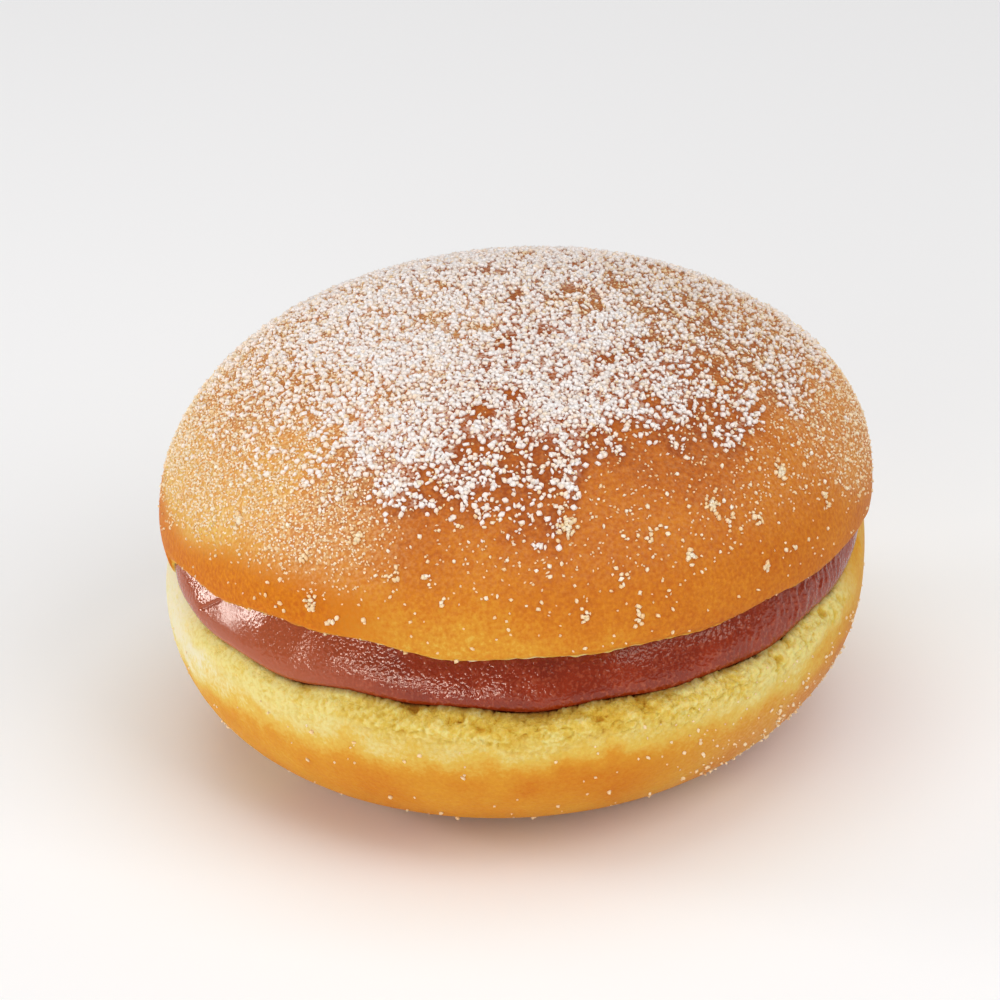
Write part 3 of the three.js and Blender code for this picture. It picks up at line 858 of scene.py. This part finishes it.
# sugar: crystals scattered over the dough by Geometry Nodes, sizes in millimetres, density for each
# square millimetre; habit 0 is an eight-sided bead, 1 a rounded lump
sugarKinds = dict(
    sugarCoat=dict(field="coat", distance=0.34, density=6.4, size=(0.38, 0.98), lift=0.10, seed=3,
                   clump=0.36, habits=(1, 1), finish="crystal"),
    sugarFine=dict(field="fine", distance=0.24, density=5.0, size=(0.24, 0.54), lift=0.1, seed=5,
                   clump=0.0, habits=(0, 0), finish="crystal"),
    sugarStrays=dict(field="stray", distance=0.4, density=0.42, size=(0.30, 0.72), lift=0.10, seed=8,
                     clump=0.75, habits=(1, 1), finish="powder"),
    sugarHeaps=dict(field="clump", distance=0.26, density=10.0, size=(0.34, 0.84), lift=0.12, seed=21,
                    clump=0.0, habits=(1, 1), finish="powder"),
    sugarDust=dict(field="dustGrains", distance=0.20, density=6.0, size=(0.18, 0.44), lift=0.04, seed=14,
                   clump=0.2, habits=(0, 0), finish="powder"),
)
sugarLook = dict(
    crystal=((0.0, (0.92, 0.74, 0.58)), (0.35, (0.94, 0.835, 0.78)), (1.0, (0.985, 0.925, 0.905))),
    powder=((0.0, (0.85, 0.57, 0.29)), (0.5, (0.93, 0.75, 0.51)), (1.0, (0.98, 0.88, 0.73))),
    roughness=0.3, glow=0.4, glowRadius=(1.0, 0.9, 0.85), glowScale=0.0004,
    # grains of size 1, before they are scaled
    beadSides=4, beadRings=2, beadRadius=0.6, lumpSplits=1, lumpRadius=0.54,
    skew=0.9, skewScale=1.3, noiseMiddle=(0.5, 0.5, 0.5), fullTurn=(6.283, 6.283, 6.283),
    heapScale=330.0, heapDetail=1.0, heapFrom=0.56, heapFull=0.66,  # where grains gather
    thinField=0.3, thickField=0.9, thinTint=0.4, thickTint=1.0,  # whitest where sugar lies thick
    seeds=dict(pick=101, turn=202, size=303, tint=404),
)
# strays thin out down the dome and fleck the lower half, heights and widths in millimetres
strayLook = dict(
    lowFoot=(2, 8), lowTop=(19, 24), lowLeast=0.09, lowRight=0.4, rightFrom=(5, 32),
    domeFrom=33, domeLeast=0.2, domeMore=0.8, domeRise=(34, 46),
    underCoat=0.9, lowDust=0.1,
)


def sugarFinish(name, stops, look):
    material = bpy.data.materials.new(name)
    kit = nodeKit(material)
    kit.finish({
        "Base Color": kit.ramp(kit.field("tint"), stops), "Roughness": look["roughness"],
        "Subsurface Weight": look["glow"], "Subsurface Radius": look["glowRadius"],
        "Subsurface Scale": look["glowScale"]})
    return material


def sugarTree(look):
    tree = bpy.data.node_groups.new("sugarScatter", "GeometryNodeTree")
    face = tree.interface
    face.new_socket(name="Skin", in_out="INPUT", socket_type="NodeSocketGeometry")
    face.new_socket(name="Sugar", in_out="OUTPUT", socket_type="NodeSocketGeometry")
    kinds = dict(String=["Field"], Float=["Distance", "Density", "Smallest", "Largest", "Lift", "Clump"],
                 Int=["First Habit", "Last Habit", "Seed"], Material=["Finish"])
    sockets = {}
    for kind, names in kinds.items():
        for name in names:
            socket = face.new_socket(name=name, in_out="INPUT", socket_type="NodeSocket" + kind)
            sockets[name] = socket.identifier
    add, link = nodeTools(tree)
    given = add("NodeGroupInput").outputs
    seeds = look["seeds"]
    field = add("GeometryNodeInputNamedAttribute", {"Name": given["Field"]}, data_type="FLOAT")
    field = field.outputs["Attribute"]
    # crystals gather in small heaps where Clump is up
    position = add("GeometryNodeInputPosition").outputs["Position"]
    heap = add("ShaderNodeTexNoise", {
        "Vector": position, "Scale": look["heapScale"], "Detail": look["heapDetail"]})
    heaped = add("ShaderNodeMapRange", {
        "Value": heap.outputs["Fac"], "From Min": look["heapFrom"], "From Max": look["heapFull"]})
    choose = add("ShaderNodeMix", {
        "Factor": given["Clump"], "A": 1.0, "B": heaped.outputs["Result"]}, data_type="FLOAT")
    factor = add("ShaderNodeMath", {0: field, 1: choose.outputs["Result"]}, operation="MULTIPLY")
    scatter = add("GeometryNodeDistributePointsOnFaces", {
        "Mesh": given["Skin"], "Distance Min": given["Distance"], "Density Max": given["Density"],
        "Density Factor": factor.outputs[0], "Seed": given["Seed"]}, distribute_method="POISSON")
    rise = add("ShaderNodeVectorMath", {
        0: scatter.outputs["Normal"], "Scale": given["Lift"]}, operation="SCALE")
    lifted = add("GeometryNodeSetPosition", {
        "Geometry": scatter.outputs["Points"], "Offset": rise.outputs["Vector"]})
    # two grains, both skewed
    collect = add("GeometryNodeGeometryToInstance")
    bead = add("GeometryNodeMeshUVSphere", {
        "Segments": look["beadSides"], "Rings": look["beadRings"], "Radius": look["beadRadius"]})
    lump = add("GeometryNodeMeshIcoSphere", {
        "Subdivisions": look["lumpSplits"], "Radius": look["lumpRadius"]})
    for shape in (lump, bead):  # the last one linked comes first
        warp = add("ShaderNodeTexNoise", {"Scale": look["skewScale"]})
        centre = add("ShaderNodeVectorMath", {
            0: warp.outputs["Color"], 1: look["noiseMiddle"]}, operation="SUBTRACT")
        amount = add("ShaderNodeVectorMath", {
            0: centre.outputs["Vector"], "Scale": look["skew"]}, operation="SCALE")
        skew = add("GeometryNodeSetPosition", {
            "Geometry": shape.outputs["Mesh"], "Offset": amount.outputs["Vector"]})
        soft = add("GeometryNodeSetShadeSmooth", {
            "Geometry": skew.outputs["Geometry"], "Shade Smooth": shape == lump})
        link(soft.outputs["Geometry"], collect.inputs["Geometry"])
    pick = add("FunctionNodeRandomValue", {
        4: given["First Habit"], 5: given["Last Habit"], "Seed": seeds["pick"]}, data_type="INT")
    turn = add("FunctionNodeRandomValue", {
        1: look["fullTurn"], "Seed": seeds["turn"]}, data_type="FLOAT_VECTOR")
    size = add("FunctionNodeRandomValue", {
        0: given["Smallest"], 1: given["Largest"], "Seed": seeds["size"]}, data_type="FLOAT_VECTOR")
    sow = add("GeometryNodeInstanceOnPoints", {
        "Points": lifted.outputs["Geometry"], "Instance": collect.outputs["Instances"],
        "Pick Instance": True, "Instance Index": pick.outputs[2], "Rotation": turn.outputs[0],
        "Scale": size.outputs[0]})
    # each grain keeps its own tint
    luck = add("FunctionNodeRandomValue", {"Seed": seeds["tint"]}, data_type="FLOAT")
    thick = add("ShaderNodeMapRange", {
        "Value": field, "From Min": look["thinField"], "From Max": look["thickField"],
        "To Min": look["thinTint"], "To Max": look["thickTint"]})
    shade = add("ShaderNodeMath", {0: luck.outputs[1], 1: thick.outputs["Result"]}, operation="MULTIPLY")
    keep = add("GeometryNodeStoreNamedAttribute", {
        "Name": "tint", "Geometry": sow.outputs["Instances"],
        "Value": shade.outputs[0]}, data_type="FLOAT", domain="INSTANCE")
    real = add("GeometryNodeRealizeInstances", {"Geometry": keep.outputs["Geometry"]})
    finish = add("GeometryNodeSetMaterial", {
        "Geometry": real.outputs["Geometry"], "Material": given["Finish"]})
    add("NodeGroupOutput", {"Sugar": finish.outputs["Geometry"]})
    return tree, sockets


def sowSugar(name, kind, tree, sockets, finish):
    grower = bpy.data.objects.new(name + "Grower", dough.data.copy())
    bpy.context.scene.collection.objects.link(grower)
    modifier = grower.modifiers.new("sugar", "NODES")
    modifier.node_group = tree
    values = {
        "Field": kind["field"], "Distance": kind["distance"] * mm, "Density": kind["density"] / mm ** 2,
        "Smallest": kind["size"][0] * mm, "Largest": kind["size"][1] * mm, "Lift": kind["lift"] * mm,
        "Clump": kind["clump"], "First Habit": kind["habits"][0], "Last Habit": kind["habits"][1],
        "Seed": kind["seed"], "Finish": finish}
    for label, value in values.items():
        modifier[sockets[label]] = value
    seen = grower.evaluated_get(bpy.context.evaluated_depsgraph_get())
    mesh = bpy.data.meshes.new_from_object(seen)
    mesh.name = name
    grower.modifiers.remove(modifier)
    bpy.data.objects.remove(grower)
    piece = addObject(name, mesh, finish)
    mesh.calc_loop_triangles()
    print(name, "sown:", len(mesh.loop_triangles), "triangles")
    return piece


def strayFields(mesh, look):
    def read(name):
        values = np.empty(len(mesh.vertices), dtype=np.float32)
        mesh.attributes[name].data.foreach_get("value", values)
        return values

    spots = np.empty(len(mesh.vertices) * 3, dtype=np.float32)
    mesh.vertices.foreach_get("co", spots)
    across = spots.reshape(-1, 3)[:, 0] / mm
    level = spots.reshape(-1, 3)[:, 2] / mm
    lower = smooth(level, *look["lowFoot"]) * (1 - smooth(level, *look["lowTop"]))
    lower = lower * (look["lowLeast"] + look["lowRight"] * smooth(across, *look["rightFrom"]))
    onDome = level > look["domeFrom"]
    stray = np.where(onDome, look["domeLeast"] + look["domeMore"] * smooth(level, *look["domeRise"]), lower)
    stray = stray * (1 - read("torn")) * (1 - look["underCoat"] * read("coat"))
    setFloat(mesh, "stray", stray)
    setFloat(mesh, "dustGrains", np.clip(np.where(onDome, read("dust"), look["lowDust"] * lower), 0, 1))


strayFields(doughMesh, strayLook)
finishes = dict(
    crystal=sugarFinish("sugarCrystal", sugarLook["crystal"], sugarLook),
    powder=sugarFinish("sugarPowder", sugarLook["powder"], sugarLook),
)
tree, sockets = sugarTree(sugarLook)
sugar = []
for name, kind in sugarKinds.items():
    sugar.append(sowSugar(name, kind, tree, sockets, finishes[kind["finish"]]))

# stage: pale floor, soft light from the left
stageLook = dict(
    floorSize=3.0, floorColour=(0.96, 0.96, 0.96, 1), floorRoughness=0.9, floorShine=0.1,
    sky=0.26, skyColour=(1, 1, 1, 1),
    lamps=(  # name, place in metres, width and height, watts, colour
        ("sideSoft", (-0.67, 0.155, 0.20), (0.20, 0.12), 1.2, (1.0, 0.98, 0.98)),
        ("frontLeft", (-0.43, -0.61, 0.165), (0.80, 0.05), 2.3, (1.0, 0.98, 0.95)),
        ("frontRight", (0.50, -0.42, 0.60), (0.60, 0.60), 3.1, (1.0, 0.98, 0.96)),
        ("overhead", (0.02, 0.05, 1.90), (1.80, 1.80), 16.5, (0.98, 0.98, 1.0)),
    ),
    aim=(0.0, 0.0, 0.03),
)


def makeStage(look):
    half = look["floorSize"] / 2
    mesh = bpy.data.meshes.new("floor")
    corners = [(-half, -half, 0), (half, -half, 0), (half, half, 0), (-half, half, 0)]
    mesh.from_pydata(corners, [], [(0, 1, 2, 3)])
    material = bpy.data.materials.new("paleFloor")
    nodeKit(material).finish({
        "Base Color": look["floorColour"], "Roughness": look["floorRoughness"],
        "Specular IOR Level": look["floorShine"]})
    floor = addObject("floor", mesh, material)
    for name, spot, size, watts, colour in look["lamps"]:
        data = bpy.data.lights.new(name, "AREA")
        data.shape = "RECTANGLE"
        data.size, data.size_y = size
        data.energy = watts
        data.color = colour
        lamp = bpy.data.objects.new(name, data)
        lamp.location = spot
        lamp.rotation_euler = (Vector(look["aim"]) - Vector(spot)).to_track_quat("-Z", "Y").to_euler()
        bpy.context.scene.collection.objects.link(lamp)
    world = bpy.data.worlds.new("studio")
    world.use_nodes = True
    world.node_tree.nodes["Background"].inputs["Color"].default_value = look["skyColour"]
    world.node_tree.nodes["Background"].inputs["Strength"].default_value = look["sky"]
    bpy.context.scene.world = world
    view = bpy.context.scene.view_settings
    view.view_transform = "Standard"
    view.look = "None"
    print("stage lit:", len(look["lamps"]), "lamps")


makeStage(stageLook)

for piece in [dough, cream] + sugar:
    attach(piece, "root")
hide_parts("dough")
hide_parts("chocolate_cream")
